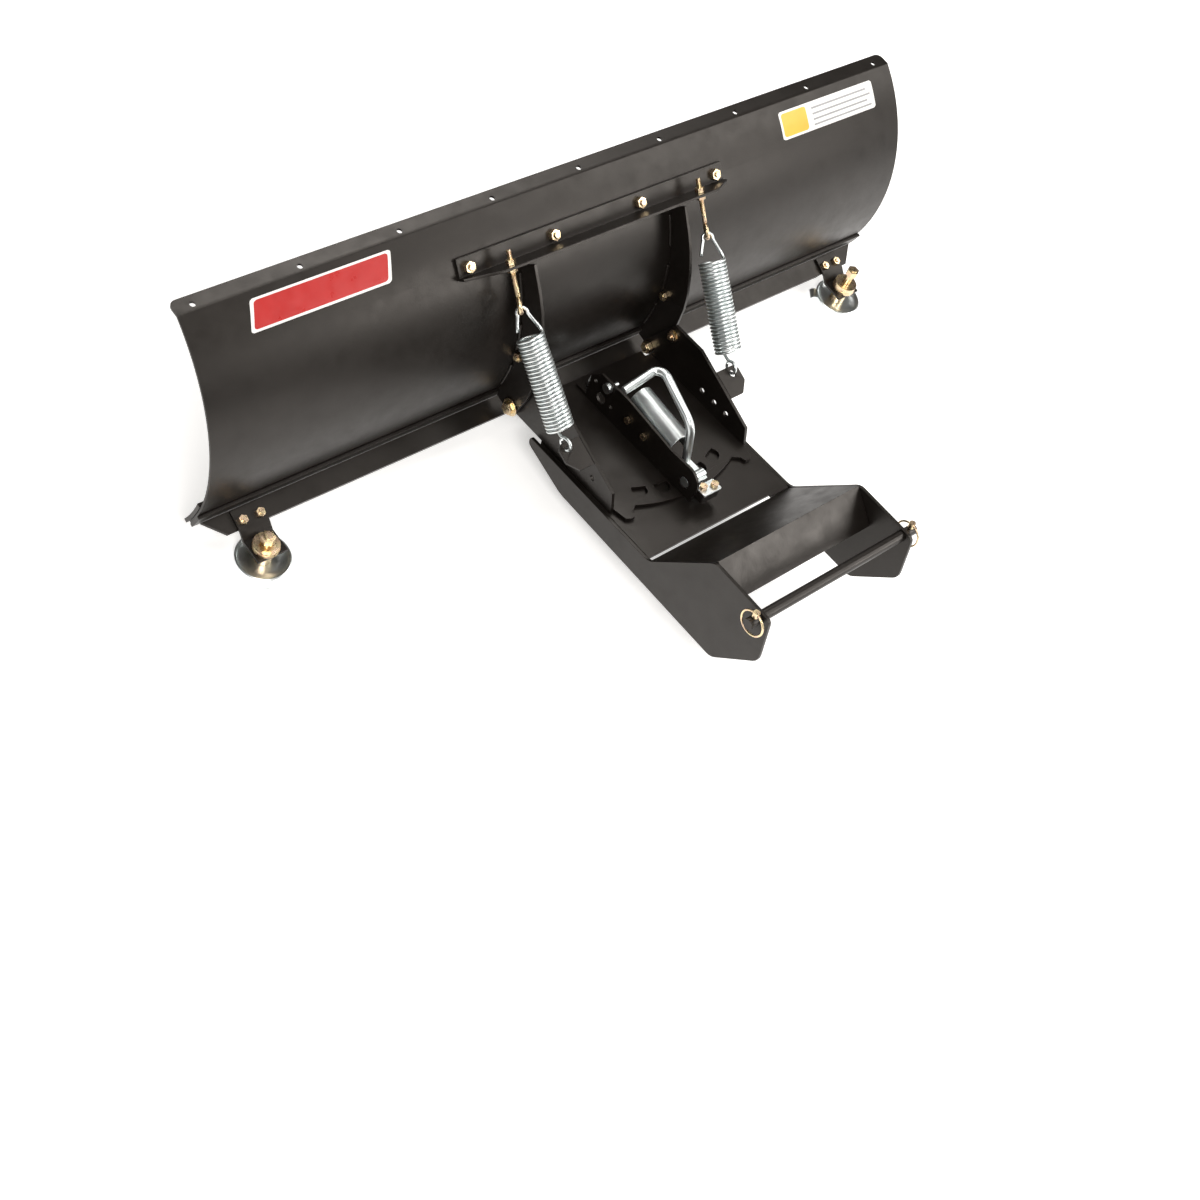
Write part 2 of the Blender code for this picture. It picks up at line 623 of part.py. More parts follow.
def make_blade(blade):
    """Everything that trips with the moldboard."""
    hang(make_moldboard(), blade)
    front = REAR_RADIUS - SHEET - GAP
    hang(rolled_bar("wear_bar", front - WEAR_BAR, front, WEAR_BAR_STEPS, BAR_HALF_WIDTH), blade)
    back = REAR_RADIUS + GAP
    hang(rolled_bar("backing_bar", back, back + BACKING_BAR, BACKING_BAR_STEPS,
                    BAR_HALF_WIDTH), blade)
    hang(make_bottom_angle(), blade)
    hang(make_spring_bracket(), blade)
    for side in (LEFT, RIGHT):
        label = SIDE_NAMES[side]
        hang(make_rib(side), blade)
        hang(make_eye_bolt(side), blade)
        hang(make_shoe_bracket(side), blade)
        outward = frame_from((side * RIB_X[1], *RIB_BOLT), (0, 1, 0), (side, 0, 0))
        hang(bolt("rib_bolt_" + label, YELLOW_ZINC, outward, (RIB_BOLT_RADIUS, 7.0), (GAP, 6),
                  (-12, 9), nut=(-11, -5 - GAP)), blade)
        for where, place_x in zip(("outer", "inner"), BRACKET_BOLT_X):
            frame = shifted(BRACKET_FACE, side * place_x, 0)
            made = bolt("bracket_bolt_" + where + "_" + label, YELLOW_ZINC, frame, (4, 8.5),
                        (BRACKET_THICK + GAP, 11), (-4.5, 14))
            cap = drum("cap", YELLOW_ZINC, frame, 9, -7, -SHEET - 2 * GAP, sides=20)
            hang(join(made, cap), blade)
        for where, place_x in zip(("outer", "inner"), SHOE_BOLT_X):
            frame = shifted(shoe_slope_frame(), side * place_x, 0)
            hang(bolt("shoe_bolt_" + where + "_" + label, YELLOW_ZINC, frame, (3.5, 6.8),
                      (GAP, 6), (-13, 9), nut=(-14.5, -2 * ANGLE_THICK - 0.8)), blade)


def make_deck_frame(root):
    """The push frame: deck, two side plates, the bent ramp and the king bolt."""
    nose = [(DECK_HALF_WIDTH, DECK_REAR), (DECK_HALF_WIDTH, -150), (60, -218), (-60, -218),
            (-DECK_HALF_WIDTH, -150), (-DECK_HALF_WIDTH, 93), (-102, 93), (-102, DECK_REAR)]
    king = circle(0, KING_U, KING_RADIUS + GAP)
    hang(plate("deck_plate", BLACK, DECK, nose, *DECK_PLATE, [king]), root)
    side_outline = [(-168, -6), (-168, -19), (-86, -47), (242, -52), (309, 17), (300, 92),
                    (192, 96), (94, -6)]
    side_outline = softened(side_outline, 9)
    for side in (LEFT, RIGHT):
        low, high = sorted(side * x for x in FRAME_SIDE_X)
        hang(plate("frame_side_" + SIDE_NAMES[side], BLACK, DECK_SECTION, side_outline, low, high,
                   [circle(*HITCH, HITCH_RADIUS + GAP)]), root)
    ramp = [(94.5, -6), (192, 96.5), (235, 53.5), (232.2, 50.7), (192.1, 90.9), (97.4, -8.8)]
    hang(plate("ramp_plate", BLACK, DECK_SECTION, ramp, -DECK_HALF_WIDTH, DECK_HALF_WIDTH), root)
    frame = shifted(DECK, 0, KING_U)
    hang(bolt("king_bolt", ZINC, frame, (KING_RADIUS, 13), (5.2, 16), (-20, 20),
              nut=(-22, DECK_PLATE[0] - GAP)), root)


def make_swivel(swivel):
    """The swivel plate, its walls, the spring ears and the pivot bolts."""
    half = WALL_X[0] - GAP
    rear = arc(0, KING_U, SWIVEL_ARC_RADIUS, 65, 115, 14)
    right_half = [(half, NUT_NOTCH[1]), (half, 2), (124, 22), (118, 26), (110, 26), (107, 17)]
    left_half = [(-x, u) for x, u in reversed(right_half)]
    outline = [(-NUT_NOTCH[0], -222), (NUT_NOTCH[0], -222), NUT_NOTCH] + right_half + rear + left_half
    outline += [(-NUT_NOTCH[0], NUT_NOTCH[1])]
    holes = [circle(0, KING_U, KING_RADIUS + GAP)]
    for index in range(-2, 3):
        turn = index * DETENT_PITCH
        x = DETENT_RADIUS * math.sin(turn)
        u = KING_U + DETENT_RADIUS * math.cos(turn)
        slot = arc(0, 0, DETENT_SIZE, 8, 172, 10)
        slot += [(-DETENT_SIZE + 1, -5.5), (DETENT_SIZE - 1, -5.5)]
        holes.append([(x + a * math.cos(turn) + b * math.sin(turn),
                       u - a * math.sin(turn) + b * math.cos(turn)) for a, b in slot])
    hang(plate("swivel_plate", BLACK, DECK, outline, -SWIVEL_THICK, 0, holes), swivel)
    boss = arc(*PIVOT_DECK, PIVOT_BOSS_RADIUS, 170, 270, 6)
    wall = boss + [(-200, -5), (0, -5), (0, 2), WALL_REAR, WALL_TOP, (-185, 79.5)]
    bores = [circle(*PIVOT_DECK, PIVOT_BOLT_RADIUS + GAP)]
    bores += [circle(u, 20, 4.5, 14) for u in (-101, -74, -48)]
    for side in (LEFT, RIGHT):
        label = SIDE_NAMES[side]
        low, high = sorted(side * x for x in WALL_X)
        hang(plate("swivel_wall_" + label, BLACK, DECK_SECTION, wall, low, high, bores), swivel)
        inner = WALL_X[1] + GAP
        ear = [(inner, 0), (EAR_OUTER_X - 7, 0), (EAR_OUTER_X, 7), (EAR_OUTER_X, 27),
               (EAR_OUTER_X - 15, EAR_LENGTH), (inner, EAR_LENGTH)]
        ear = [(side * x, along) for x, along in ear]
        hole = circle(side * EAR_HOLE[0], EAR_HOLE[1], EAR_HOLE_RADIUS)
        hang(plate("spring_ear_" + label, BLACK, EAR_FACE, ear, -EAR_THICK, 0, [hole]), swivel)
        outward = frame_from((side * RIB_X[1], *PIVOT), (0, 1, 0), (side, 0, 0))
        made = bolt("pivot_bolt_" + label, YELLOW_ZINC, outward, (PIVOT_BOLT_RADIUS, 10),
                    (2, 9.5), (-23, 5), nut=(-21.5, -13 - GAP))
        washer = drum("washer", YELLOW_ZINC, outward, 14, GAP, 2.6, sides=24)
        hang(join(made, washer), swivel)


def ear_face():
    """The frame on top of the ears: X across, Y down the walls' sloping edge."""
    run = Vector((0, WALL_REAR[0] - WALL_TOP[0], WALL_REAR[1] - WALL_TOP[1])).normalized()
    rise = (EAR_START_U - WALL_TOP[0]) / run.y * run.z
    normal = Vector((1, 0, 0)).cross(run)
    start = Vector((0, EAR_START_U, WALL_TOP[1] + rise))
    return DECK @ frame_from(start, (1, 0, 0), normal)


EAR_FACE = ear_face()


def make_latch(root, latch):
    """The angle latch: its fixed bracket with cover and spring, and the lever that lifts."""
    low, high = LATCH_PLATE_X
    tail = arc(24, 27, 25, -35, 85, 12)
    blade = [(-190, 0.6), (45, 0.8)] + tail + [(-15, 50), (-115, 61), (-172, 60), (-190, 42)]
    holes = [circle(*LATCH_SHAFT, LATCH_SHAFT_RADIUS + 1.5), circle(-179, 40, 3.5, 12),
             circle(-139, 22, 3.5, 12), circle(-161, 21, 9), circle(-102, 31, 3.3, 12),
             circle(-66, 31, 3.3, 12), circle(-152, 51, 3.3, 12)]
    plate_piece = plate("latch_bracket", BLACK, DECK_SECTION, blade, low, high, holes)
    foot = plate("foot", BLACK, DECK, [(-15, -212), (high - 0.4, -212), (high - 0.4, -179),
                                       (-15, -179)], 0.7, 4.8,
                 [circle(0, KING_U, KING_RADIUS + GAP)])
    hang(join(plate_piece, foot), root)
    for label, (u, n) in (("front", (-102, 31)), ("rear", (-66, 31))):
        frame = frame_from(DECK @ (Vector((high, u, n)) * MM) / MM, (0, 0, 1), (1, 0, 0))
        hang(bolt("cover_bolt_" + label, YELLOW_ZINC, frame, (3, 6), (GAP, 4.5), (-3.8, 3)), root)
    frame = frame_from(DECK @ (Vector((high, -152, 51)) * MM) / MM, (0, 0, 1), (1, 0, 0))
    hang(bolt("latch_spring_bolt", ZINC, frame, (3, 8), (GAP, 7), (-16, 5), head_sides=20), root)
    front = Vector((COVER_X, *COVER_FRONT))
    along = Vector((COVER_X, *COVER_REAR)) - front
    cover_frame = DECK @ frame_from(front, (1, 0, 0), along)
    outer = arc(0, 0, COVER_RADIUS, 0, -180, 14)
    inner = arc(0, 0, COVER_RADIUS - COVER_THICK, -180, 0, 14)
    skirt = 16.0
    shell = [(COVER_RADIUS, skirt)] + outer + [(-COVER_RADIUS, skirt)]
    shell += [(-COVER_RADIUS + COVER_THICK, skirt)] + inner
    shell += [(COVER_RADIUS - COVER_THICK, skirt)]
    hang(plate("latch_cover", ZINC, cover_frame, shell, 0, along.length), root)
    turns = 11
    steps = turns * COIL_SIDES
    coil = []
    for index in range(steps + 1):
        turn = math.tau * index / COIL_SIDES
        coil.append((9 * math.cos(turn), 9 * math.sin(turn), 6 + 80 * index / steps))
    hang(rod("latch_spring", ZINC, cover_frame, coil, 1.2, detail=1), root)
    block = [(-16.5, 43), (17.3, 43), (17.3, 60), (-16.5, 60)]
    hang(plate("latch_block", BLACK, DECK, softened(block, 2), 9, 24.5), root)
    clamp = [(-16.5, 42), (17.3, 42), (17.3, 62), (-16.5, 62)]
    bolts = ((9, 49), (-9, 53))
    hang(plate("latch_clamp", ZINC, DECK, softened(clamp, 2), 24.8, 27.6,
               [circle(x, u, 3.3, 12) for x, u in bolts]), root)
    for label, (x, u) in zip(("left", "right"), bolts):
        hang(bolt("clamp_bolt_" + label, YELLOW_ZINC, shifted(DECK, x, u, 27.6), (3, 6.2),
                  (GAP, 5.5), (-2.8, 3)), root)
    path = [(60, -98, 112), (6, -97, 128), (0, -84, 131), (0, -12, 92), (0, 0, 31), (0, 2, 1)]
    path = softened(path, 16, count=6, closed=False)
    hang(rod("latch_lever", ZINC, DECK, path, LATCH_ROD, detail=4), latch)
    tongue = [(-14, -8), (14, -8), (14, 36), (-14, 36)]
    made = plate("latch_tongue", ZINC, DECK, softened(tongue, 4), 20.5, 25,
                 [circle(0.3, 1.0, LATCH_ROD + 1.0)])
    shaft_frame = shifted(DECK_SECTION, *LATCH_SHAFT)
    hang(join(made, drum("shaft", ZINC, shaft_frame, LATCH_SHAFT_RADIUS, -15, high)), latch)


def make_hitch(hitch, rings):
    """The hitch pin with a lynch pin and a ring at each end."""
    frame = shifted(DECK_SECTION, *HITCH)
    pin = drum("hitch_pin", BLACK, frame, HITCH_RADIUS, -HITCH_HALF_LENGTH, HITCH_HALF_LENGTH)
    cutters = []
    for side in (LEFT, RIGHT):
        cross = shifted(DECK, side * LYNCH_X, *HITCH)
        cutters.append(drum("hole", ZINC, cross, LYNCH_RADIUS + GAP, -12, 12, sides=12))
    hang(cut(pin, *cutters), hitch)
    for side in (LEFT, RIGHT):
        label = SIDE_NAMES[side]
        cross = shifted(DECK, side * LYNCH_X, *HITCH)
        lynch = drum("lynch_pin_" + label, YELLOW_ZINC, cross, LYNCH_RADIUS, -12, 15, sides=12)
        head = drum("head", YELLOW_ZINC, cross, 4.6, 10, 19, sides=12)
        bore_frame = shifted(cross, 0, 0, RING_HANG) @ Matrix.Rotation(math.pi / 2, 4, "X")
        bore = drum("bore", YELLOW_ZINC, bore_frame, RING_WIRE + 0.9, -8, 8, sides=10)
        hang(cut(join(lynch, head), bore), hitch)
        turns = [math.radians(4 + 352 * index / 26) for index in range(27)]
        points = [(0.0, RING_RADIUS * math.sin(turn),
                   RING_HANG + RING_RADIUS * (math.cos(turn) - 1)) for turn in turns]
        ring = rod("lynch_ring_" + label, YELLOW_ZINC, cross, points, RING_WIRE)
        hang(ring, rings[side])


def main():
    """Build the whole assembly, with an empty on the axis of each joint."""
    root = pivot_empty("push_frame", PLAN)
    swivel = pivot_empty("swivel", shifted(DECK, 0, KING_U), root)
    blade = pivot_empty("blade", Matrix.Translation(Vector((0, *PIVOT)) * MM), swivel)
    latch = pivot_empty("latch", shifted(DECK, 0, *LATCH_SHAFT), root)
    hitch = pivot_empty("hitch", shifted(DECK, 0, *HITCH), root)
    make_deck_frame(root)
    make_swivel(swivel)
    make_blade(blade)
    make_latch(root, latch)
    rings = {}
    for side in (LEFT, RIGHT):
        label = SIDE_NAMES[side]
        place = shifted(DECK, side * LYNCH_X, HITCH[0], HITCH[1] + RING_HANG)
        rings[side] = pivot_empty("ring_axis_" + label, place, hitch)
        stem = pivot_empty("shoe_axis_" + label, shifted(PLAN, side * SHOE_X, SHOE_Y), blade)
        dish, stem_piece, spacer = make_shoe(side)
        hang(dish, stem)
        hang(stem_piece, stem)
        hang(spacer, blade)
        lower, upper, _ = spring_frames(side)
        coil_axis = pivot_empty("spring_axis_" + label, lower, swivel)
        hook_axis = pivot_empty("hook_axis_" + label, upper, coil_axis)
        coil, hook = make_spring(side)
        hang(coil, coil_axis)
        hang(hook, hook_axis)
    make_hitch(hitch, rings)


main()
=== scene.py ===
"""Looks of the ATV plow blade: finishes, trip springs, threads, welds, panels, light and camera."""

import json
import math

import bmesh
import bpy
from mathutils import Matrix, Vector, noise


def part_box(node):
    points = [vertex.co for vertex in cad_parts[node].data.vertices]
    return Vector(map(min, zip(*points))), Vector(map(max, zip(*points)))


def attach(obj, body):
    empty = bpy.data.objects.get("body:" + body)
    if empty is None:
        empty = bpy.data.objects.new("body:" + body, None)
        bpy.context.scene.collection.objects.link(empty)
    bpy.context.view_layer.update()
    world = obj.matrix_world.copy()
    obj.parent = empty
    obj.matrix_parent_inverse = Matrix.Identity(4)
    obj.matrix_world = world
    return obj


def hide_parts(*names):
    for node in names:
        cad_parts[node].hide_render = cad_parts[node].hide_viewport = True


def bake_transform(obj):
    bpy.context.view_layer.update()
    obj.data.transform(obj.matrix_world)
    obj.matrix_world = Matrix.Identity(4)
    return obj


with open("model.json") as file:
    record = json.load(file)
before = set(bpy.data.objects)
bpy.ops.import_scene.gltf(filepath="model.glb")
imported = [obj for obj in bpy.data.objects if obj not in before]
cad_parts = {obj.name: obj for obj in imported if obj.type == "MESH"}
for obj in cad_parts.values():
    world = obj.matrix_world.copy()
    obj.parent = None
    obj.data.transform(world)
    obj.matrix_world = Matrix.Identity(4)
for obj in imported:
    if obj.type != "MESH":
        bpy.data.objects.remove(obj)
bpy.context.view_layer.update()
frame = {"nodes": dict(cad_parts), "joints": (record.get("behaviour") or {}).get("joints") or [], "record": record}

MM = 0.001
NODES = frame["nodes"]
JOINTS = {joint["name"]: joint for joint in frame["joints"]}
SIDES = {"left": 1, "right": -1}

# Small rounded edges on the CAD nodes.
WELD_GAP = 0.00001
WIRE_WELD = 0.0000005
EDGE_RADIUS = 0.7 * MM
EDGE_SHARE = 0.12
EDGE_ANGLE = math.radians(38)
FACE_WEIGHT = 50
SHARP_ANGLE = 40

# Camera of the reference view.
CAMERA_PLACE = (1.526, 0.795, 1.989)
AZIMUTH = math.radians(116.71)
ELEVATION = math.radians(52.88)
ROLL = math.radians(29.71)
LENS = 53.5
SENSOR = 36.0
FAR_CLIP = 50.0

# The moldboard's rolled section.
ARC_CENTRE = Vector((0.0, -0.455, 0.136))
REAR_RADIUS = 0.250
SHEET_LIFT = 0.3 * MM

# Trip springs: heights run from the hole in the ear to the inside of the eye.
SPRING_WIRE = 2.4 * MM
COIL_RADIUS = 18.0 * MM
COIL_TURNS = 24.65
COIL_START = 33.0 * MM
COIL_END = 166.0 * MM
SPRING_LENGTH = 207.3 * MM
LOWER_HOOK = 9.2 * MM
UPPER_HOOK = 7.4 * MM
FREE_LEG = (14.0 * MM, 31.0 * MM)
LOWER_HOOK_STEPS = 33
LOWER_HOOK_START = math.radians(130)
LOWER_HOOK_STEP = math.radians(10)
UPPER_HOOK_STEPS = 16
UPPER_HOOK_START = math.radians(-15)
UPPER_HOOK_STEP = math.radians(14)
STEPS_PER_COIL = 28
# Where hooks and coil join, the wire runs on this far before it turns.
LOWER_PULL = (Vector((-8 * MM, 0, 0)), Vector((0, -9 * MM, 1 * MM)))
LOWER_JOIN_STEPS = 10
COIL_RUN = 10 * MM
COIL_RISE = 2 * MM
BEND_RISE = 11 * MM
BEND_INWARD = 3 * MM
UPPER_JOIN_STEPS = 12
LEG_START = (1.5 * MM, 4 * MM)
LEG_FINISH = (2 * MM, 9 * MM)
LEG_STEPS = 6
EAR_TILT = math.radians(16.43)

# Eye bolts.
BRACKET_ANGLE = math.radians(42.6)
EYE_SEAT_OUT = 27.0 * MM
BRACKET_LEG = 30.0 * MM
EYE_X = 174.0 * MM
EYE_ROD = 3.2 * MM
EYE_TURN = math.radians(38)
THREAD_ABOVE = (11.3 * MM, 12.0 * MM)
THREAD_BELOW = (6.3 * MM, 20.0 * MM)

# Bracket bolt tips: distance out of the seat, radius, length and pitch of the thread.
TIP_OUT = 11.2 * MM
TIP_RADIUS = 4.0 * MM
TIP_LENGTH = 2.6 * MM
TIP_PITCH = 1.0 * MM

# Thread ridges.
THREAD_PITCH = 1.25 * MM
RIDGE = 0.38 * MM
ROOT = 0.02 * MM
SLEEVE_WALL = 0.5 * MM

# Bolt on the right swivel wall: its place, then each piece with its sides and outline in millimetres.
WALL_BOLT = (-0.148, 0.128)
WALL_BOLT_PIECES = (
    ("wall_washer", 28, [(0.5, 0.0), (9.0, 0.0), (9.0, 1.6), (0.5, 1.6)]),
    ("wall_bolt_head", 6, [(0.5, 1.7), (6.6, 1.7), (7.2, 2.4), (7.2, 6.6), (6.4, 7.4), (0.5, 7.4)]),
    ("wall_bolt_tip", 24, [(0.5, 7.0), (3.8, 7.0), (3.8, 10.5), (3.2, 11.2), (0.5, 11.2)]))

# Weld beads along the ribs: runs in degrees of the rolled section.
WELD_RUNS = ((-11, 0), (7, 17), (24, 35))
WELD_RADIUS = 2.2 * MM
WELD_ASIDE = 1.2 * MM
WELD_OUT = 1.0 * MM
WELD_STEPS = 24
LUMP_SCALE = 260.0
LUMP_DEPTH = 0.25
RIPPLE_SCALE = 2400.0
RIPPLE_DEPTH = 0.12

# Plain panels: lifts off the sheet, thickness, rows of faces and colours.
BASE_LIFT = 0.22 * MM
PRINT_LIFT = 0.36 * MM
PANEL_THICKNESS = 0.12 * MM
PANEL_ROWS = 24
CORNER = 4.0 * MM
VINYL_COLOURS = {"white_vinyl": (0.78, 0.77, 0.75), "red_vinyl": (0.42, 0.018, 0.016),
                 "amber_vinyl": (0.80, 0.42, 0.03), "grey_vinyl": (0.30, 0.30, 0.30)}
# Each panel: name, finish, left, right, bottom, top, lift and lean.
PANELS = (("panel_border", "white_vinyl", 0.336, 0.546, 0.3160, 0.3412, BASE_LIFT, 12 * MM),
          ("panel_field", "red_vinyl", 0.341, 0.541, 0.3182, 0.3395, PRINT_LIFT, 11 * MM),
          ("label_base", "white_vinyl", -0.587, -0.380, 0.3115, 0.3385, BASE_LIFT, 0.0),
          ("label_head", "amber_vinyl", -0.437, -0.384, 0.3140, 0.3365, PRINT_LIFT, 0.0))
# Plain grey lines on the pale label.
LINE_COUNT = 4
LINE_LEFT = -0.579
LINE_INDENT = 0.008
LINE_RIGHT = -0.449
LINE_CORNER = 0.8 * MM
LINE_BOTTOM = 0.3155
LINE_STEP = 0.0054
LINE_HEIGHT = 0.0018

# Stage: floor, background and lights as name, place, size and power.
FLOOR_SIZE = 30
FLOOR_DROP = 0.6 * MM
FLOOR_COLOUR = (0.86, 0.86, 0.86, 1.0)
FLOOR_ROUGHNESS = 0.75
FLOOR_GLOW = (1.0, 0.99, 0.97, 1.0)
FLOOR_GLOW_STRENGTH = 0.55
WORLD_COLOUR = (1.0, 0.96, 0.92, 1.0)
WORLD_STRENGTH = 0.09
LIGHT_TINT = (1.0, 0.975, 0.945)
LIGHT_TARGET = Vector((0.0, -0.05, 0.15))
LIGHTS = (("key", (1.6, 1.9, 2.9), 1.6, 78.0),
          ("fill", (-2.4, 1.0, 2.4), 1.8, 38.0),
          ("front", (-1.1, -1.9, 2.6), 1.7, 38.0),
          ("rear", (-1.9, 2.3, 1.35), 1.3, 36.0),
          ("top", (0.0, -0.2, 3.4), 1.6, 26.0))


class Graph:
    """Short helpers for one material's node tree."""

    def __init__(self, name):
        self.material = bpy.data.materials.new(name)
        self.material.use_nodes = True
        self.tree = self.material.node_tree
        self.shader = self.tree.nodes["Principled BSDF"]
        self.place = self.add("ShaderNodeTexCoord").outputs["Object"]

    def add(self, kind, **values):
        node = self.tree.nodes.new(kind)
        for key, value in values.items():
            setattr(node, key, value)
        return node

    def link(self, source, target):
        self.tree.links.new(source, target)

    def noise(self, scale, detail=3.0, roughness=0.5, stretch=None):
        texture = self.add("ShaderNodeTexNoise")
        texture.inputs["Scale"].default_value = scale
        texture.inputs["Detail"].default_value = detail
        texture.inputs["Roughness"].default_value = roughness
        source = self.place
        if stretch is not None:
            mapping = self.add("ShaderNodeMapping")
            mapping.inputs["Scale"].default_value = stretch
            self.link(source, mapping.inputs["Vector"])
            source = mapping.outputs["Vector"]
        self.link(source, texture.inputs["Vector"])
        return texture.outputs["Fac"]

    def ramp(self, source, stops):
        ramp = self.add("ShaderNodeValToRGB")
        elements = ramp.color_ramp.elements
        while len(elements) < len(stops):
            elements.new(0.5)
        for element, (position, colour) in zip(elements, stops):
            element.position = position
            element.color = (*colour, 1.0)
        self.link(source, ramp.inputs["Fac"])
        return ramp.outputs["Color"]

    def spread(self, source, low, high, start=0.3, end=0.7):
        span = self.add("ShaderNodeMapRange")
        span.inputs["From Min"].default_value = start
        span.inputs["From Max"].default_value = end
        span.inputs["To Min"].default_value = low
        span.inputs["To Max"].default_value = high
        self.link(source, span.inputs["Value"])
        return span.outputs["Result"]

    def bump(self, source, strength, distance, below=None):
        bump = self.add("ShaderNodeBump")
        bump.inputs["Strength"].default_value = strength
        bump.inputs["Distance"].default_value = distance
        self.link(source, bump.inputs["Height"])
        if below is not None:
            self.link(below, bump.inputs["Normal"])
        return bump.outputs["Normal"]


def powder_coat():
    """Satin black powder coat: orange peel, a little dust and some uneven gloss."""
    graph = Graph("black_powder_coat")
    shader = graph.shader
    cloud = graph.noise(9.0, 4.0, 0.6)
    graph.link(graph.ramp(cloud, [(0.30, (0.0056, 0.0042, 0.0034)),
                                  (0.55, (0.0078, 0.0060, 0.0049)),
                                  (0.80, (0.0110, 0.0086, 0.0072))]), shader.inputs["Base Color"])
    graph.link(graph.spread(graph.noise(34.0, 5.0, 0.65), 0.33, 0.45), shader.inputs["Roughness"])
    peel = graph.bump(graph.noise(460.0, 2.0), 0.16, 0.0003)
    grit = graph.bump(graph.noise(1500.0, 2.0), 0.08, 0.0002, below=peel)
    graph.link(grit, shader.inputs["Normal"])
    shader.inputs["Specular IOR Level"].default_value = 0.46
    shader.inputs["Specular Tint"].default_value = (1.0, 0.94, 0.88, 1.0)
    return graph.material


def bright_zinc():
    """Bright zinc plate: cool metal with faint clouds and fine drawing marks."""
    graph = Graph("bright_zinc")
    shader = graph.shader
    shader.inputs["Metallic"].default_value = 1.0
    graph.link(graph.ramp(graph.noise(38.0, 4.0, 0.55), [(0.30, (0.74, 0.80, 0.80)),
                                                         (0.55, (0.83, 0.87, 0.87)),
                                                         (0.80, (0.91, 0.93, 0.92))]),
               shader.inputs["Base Color"])
    graph.link(graph.spread(graph.noise(70.0, 4.0, 0.6), 0.30, 0.38), shader.inputs["Roughness"])
    marks = graph.noise(240.0, 3.0, 0.6, stretch=(0.12, 1.0, 1.0))
    graph.link(graph.bump(marks, 0.02, 0.0001), shader.inputs["Normal"])
    return graph.material


def yellow_zinc():
    """Yellow chromate on zinc: pale gold that drifts towards pink and green."""
    graph = Graph("yellow_zinc")
    shader = graph.shader
    shader.inputs["Metallic"].default_value = 1.0
    graph.link(graph.ramp(graph.noise(120.0, 3.0, 0.6), [(0.25, (0.66, 0.58, 0.36)),
                                                         (0.45, (0.85, 0.69, 0.42)),
                                                         (0.62, (0.86, 0.62, 0.45)),
                                                         (0.80, (0.70, 0.68, 0.46))]),
               shader.inputs["Base Color"])
    graph.link(graph.spread(graph.noise(200.0, 3.0), 0.22, 0.36), shader.inputs["Roughness"])
    graph.link(graph.bump(graph.noise(700.0, 2.0), 0.05, 0.0002), shader.inputs["Normal"])
    return graph.material


def vinyl(name, colour, roughness=0.32):
    """Printed vinyl with faint fading and dust."""
    graph = Graph(name)
    shader = graph.shader
    faded = tuple(min(1.0, channel * 1.25 + 0.01) for channel in colour)
    graph.link(graph.ramp(graph.noise(26.0, 4.0, 0.6), [(0.20, colour), (0.90, faded)]),
               shader.inputs["Base Color"])
    graph.link(graph.spread(graph.noise(60.0, 4.0), roughness - 0.06, roughness + 0.08),
               shader.inputs["Roughness"])
    graph.link(graph.bump(graph.noise(380.0, 2.0), 0.02, 0.0001), shader.inputs["Normal"])
    return graph.material


FINISHES = {"black_powder_coat": powder_coat(), "bright_zinc": bright_zinc(),
            "yellow_zinc": yellow_zinc()}
SLOTS = {part["node"]: part["material_slot"] for part in frame["record"]["subparts"]}


def dress_node(name, piece):
    """Give a CAD node its finish, welded corners and small rounded edges."""
    piece.data.materials.clear()
    piece.data.materials.append(FINISHES[SLOTS[name]])
    piece.data.shade_smooth()
    weld = piece.modifiers.new("weld", "WELD")
    weld.merge_threshold = WELD_GAP
    low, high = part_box(name)
    thinnest = min(high - low)
    bevel = piece.modifiers.new("edges", "BEVEL")
    bevel.width = min(EDGE_RADIUS, thinnest * EDGE_SHARE)
    bevel.segments = 2
    bevel.limit_method = "ANGLE"
    bevel.angle_limit = EDGE_ANGLE
    bevel.use_clamp_overlap = True
    even = piece.modifiers.new("even", "WEIGHTED_NORMAL")
    even.mode = "FACE_AREA"
    even.weight = FACE_WEIGHT
    even.keep_sharp = True


def shaded(piece, angle=SHARP_ANGLE):
    """Smooth shading with sharp edges kept."""
    piece.data.shade_smooth()
    piece.data.set_sharp_from_angle(angle=math.radians(angle))
    return piece


def add_piece(name, mesh, slot, body=None):
    """A new mesh object with the finish of a material slot."""
    piece = bpy.data.objects.new(name, mesh)
    bpy.context.scene.collection.objects.link(piece)
    mesh.materials.clear()
    mesh.materials.append(FINISHES[slot])
    if body is not None:
        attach(piece, body)
    return piece


def axes_at(place, along, across=(1, 0, 0)):
    """A matrix at a place with Z along a direction and X nearest to another."""
    z_axis = Vector(along).normalized()
    y_axis = z_axis.cross(Vector(across)).normalized()
    x_axis = y_axis.cross(z_axis)
    turn = Matrix((x_axis, y_axis, z_axis)).transposed().to_4x4()
    return Matrix.Translation(Vector(place)) @ turn


